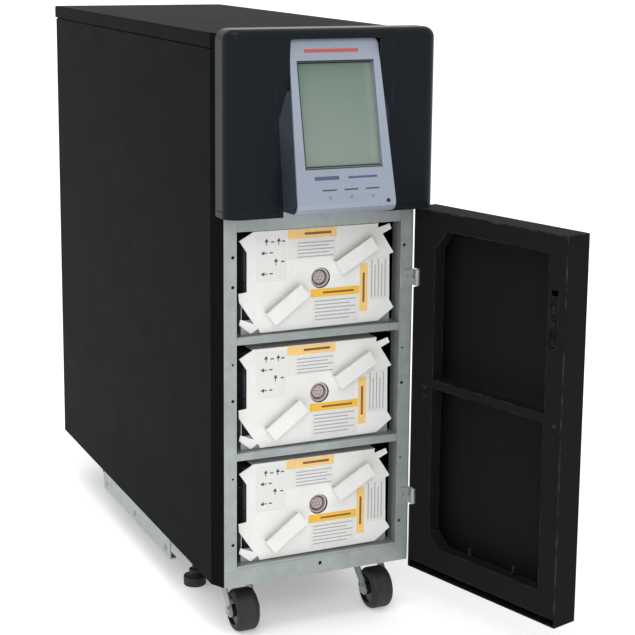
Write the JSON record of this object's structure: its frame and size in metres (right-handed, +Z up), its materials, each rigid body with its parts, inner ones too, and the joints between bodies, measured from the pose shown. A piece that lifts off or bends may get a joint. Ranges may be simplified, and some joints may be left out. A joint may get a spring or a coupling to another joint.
{
  "type": "tower uninterruptible power supply",
  "caption": "Tower battery-backed power cabinet on casters, with an open front door, slide-out battery modules and a sloping console on its head.",
  "frame": {"origin": "on the floor, at the middle of the ground that the object covers with its door open as at rest", "axes": "+X to the right seen from the front, +Y towards the back, +Z up"},
  "size_m": [0.4144, 1.088, 0.847],
  "materials": {
    "cabinet_paint": "fine textured black powder coat",
    "door_paint": "satin black powder coat",
    "frame_steel": "dark coated sheet",
    "zinc_steel": "galvanised",
    "tray_steel": "galvanised",
    "bezel_plastic": "satin slate",
    "silver_plastic": "metallic silver",
    "screen_window": "clear",
    "lamp_lens": "translucent",
    "circuit_board": "solder mask",
    "black_plastic": "moulded",
    "bare_aluminium": "extruded",
    "wound_core": "varnished",
    "wheel_rubber": "moulded",
    "white_card": "white sheet",
    "battery_case": "grey moulded case",
    "connector_plastic": "moulded"
  },
  "bodies": {
    "cabinet": {"base_pan": "cabinet_paint", "bay_receptacles": "black_plastic", "bay_shelves": "zinc_steel", "bay_uprights": "frame_steel", "bezel_centre": "bezel_plastic", "bezel_wings": "bezel_plastic", "breaker_body": "black_plastic", "cabinet_screws": "zinc_steel", "caster_plates": "zinc_steel", "display_electronics": "circuit_board", "display_face": "silver_plastic", "display_housing": "bezel_plastic", "display_window": "screen_window", "electronics_deck": "zinc_steel", "fan_frames": "black_plastic", "front_posts": "zinc_steel", "front_rail": "zinc_steel", "heatsinks": "bare_aluminium", "hinge_leaves_fixed": "zinc_steel", "led_lenses": "lamp_lens", "magnetics": "wound_core", "outlet_block": "black_plastic", "power_board": "circuit_board", "rear_caster_forks": "zinc_steel", "rear_panel": "cabinet_paint", "side_brackets": "zinc_steel", "side_panel_left": "cabinet_paint", "side_panel_right": "cabinet_paint", "terminal_cover": "cabinet_paint", "top_cover": "cabinet_paint", "underframe": "frame_steel"},
    "module_lower": {"module_tray_lower": "tray_steel", "module_wrap_lower": "white_card", "battery_blocks_lower": "battery_case", "module_connector_lower": "connector_plastic"},
    "module_middle": {"module_tray_middle": "tray_steel", "module_wrap_middle": "white_card", "battery_blocks_middle": "battery_case", "module_connector_middle": "connector_plastic"},
    "module_upper": {"module_tray_upper": "tray_steel", "module_wrap_upper": "white_card", "battery_blocks_upper": "battery_case", "module_connector_upper": "connector_plastic"},
    "door": {"door_skin": "door_paint", "door_inner_frame": "door_paint", "door_hinge_leaves": "zinc_steel", "door_fasteners": "frame_steel"},
    "latch": {"door_latch": "door_paint"},
    "button": {"console_button": "black_plastic"},
    "fan_left": {"fan_rotor_left": "black_plastic"},
    "fan_right": {"fan_rotor_right": "black_plastic"},
    "breaker_handle": {"breaker_lever": "black_plastic"},
    "fork_left": {"caster_fork_left": "zinc_steel"},
    "fork_right": {"caster_fork_right": "zinc_steel"},
    "wheel_front_left": {"front_wheel_left": "wheel_rubber"},
    "wheel_front_right": {"front_wheel_right": "wheel_rubber"},
    "wheel_rear_left": {"rear_wheel_left": "wheel_rubber"},
    "wheel_rear_right": {"rear_wheel_right": "wheel_rubber"},
    "foot_left": {"levelling_foot_left": "wheel_rubber"},
    "foot_right": {"levelling_foot_right": "wheel_rubber"}
  },
  "joints": [
    {"name": "door_swing", "type": "hinge", "parent": "cabinet", "child": "door", "pos_m": [0.09349, -0.27596, 0.333], "axis": [0, 0, 1], "range_deg": [-106.2, 43.8]},
    {"name": "latch_slide", "type": "slide", "parent": "door", "child": "latch", "axis": [0, 0, 1], "range_m": [0, 0.006]},
    {"name": "button_press", "type": "slide", "parent": "cabinet", "child": "button", "axis": [0, 1, 0], "range_m": [0, 0.0012], "stiffness_N_per_m": 200},
    {"name": "fan_spin_left", "type": "hinge", "parent": "cabinet", "child": "fan_left", "pos_m": [-0.12051, 0.51104, 0.71], "axis": [0, 1, 0], "continuous": true},
    {"name": "fan_spin_right", "type": "hinge", "parent": "cabinet", "child": "fan_right", "pos_m": [0.01549, 0.51104, 0.71], "axis": [0, 1, 0], "continuous": true},
    {"name": "breaker_toggle", "type": "hinge", "parent": "cabinet", "child": "breaker_handle", "pos_m": [-0.15551, 0.52404, 0.528], "axis": [1, 0, 0], "range_deg": [-50, 0]},
    {"name": "module_slide_lower", "type": "slide", "parent": "cabinet", "child": "module_lower", "axis": [0, -1, 0], "range_m": [0, 0.4]},
    {"name": "module_slide_middle", "type": "slide", "parent": "cabinet", "child": "module_middle", "axis": [0, -1, 0], "range_m": [0, 0.4]},
    {"name": "module_slide_upper", "type": "slide", "parent": "cabinet", "child": "module_upper", "axis": [0, -1, 0], "range_m": [0, 0.4]},
    {"name": "caster_swivel_left", "type": "hinge", "parent": "cabinet", "child": "fork_left", "pos_m": [-0.15651, -0.21796, 0.072], "axis": [0, 0, 1], "continuous": true},
    {"name": "front_roll_left", "type": "hinge", "parent": "fork_left", "child": "wheel_front_left", "pos_m": [-0.15651, -0.24396, 0.03], "axis": [1, 0, 0], "continuous": true},
    {"name": "rear_roll_left", "type": "hinge", "parent": "cabinet", "child": "wheel_rear_left", "pos_m": [-0.13751, 0.44404, 0.03], "axis": [1, 0, 0], "continuous": true},
    {"name": "foot_lift_left", "type": "slide", "parent": "cabinet", "child": "foot_left", "axis": [0, 0, 1], "range_m": [0, 0.015]},
    {"name": "caster_swivel_right", "type": "hinge", "parent": "cabinet", "child": "fork_right", "pos_m": [0.05149, -0.21796, 0.072], "axis": [0, 0, 1], "continuous": true},
    {"name": "front_roll_right", "type": "hinge", "parent": "fork_right", "child": "wheel_front_right", "pos_m": [0.05149, -0.24396, 0.03], "axis": [1, 0, 0], "continuous": true},
    {"name": "rear_roll_right", "type": "hinge", "parent": "cabinet", "child": "wheel_rear_right", "pos_m": [0.03249, 0.44404, 0.03], "axis": [1, 0, 0], "continuous": true},
    {"name": "foot_lift_right", "type": "slide", "parent": "cabinet", "child": "foot_right", "axis": [0, 0, 1], "range_m": [0, 0.015]}
  ]
}
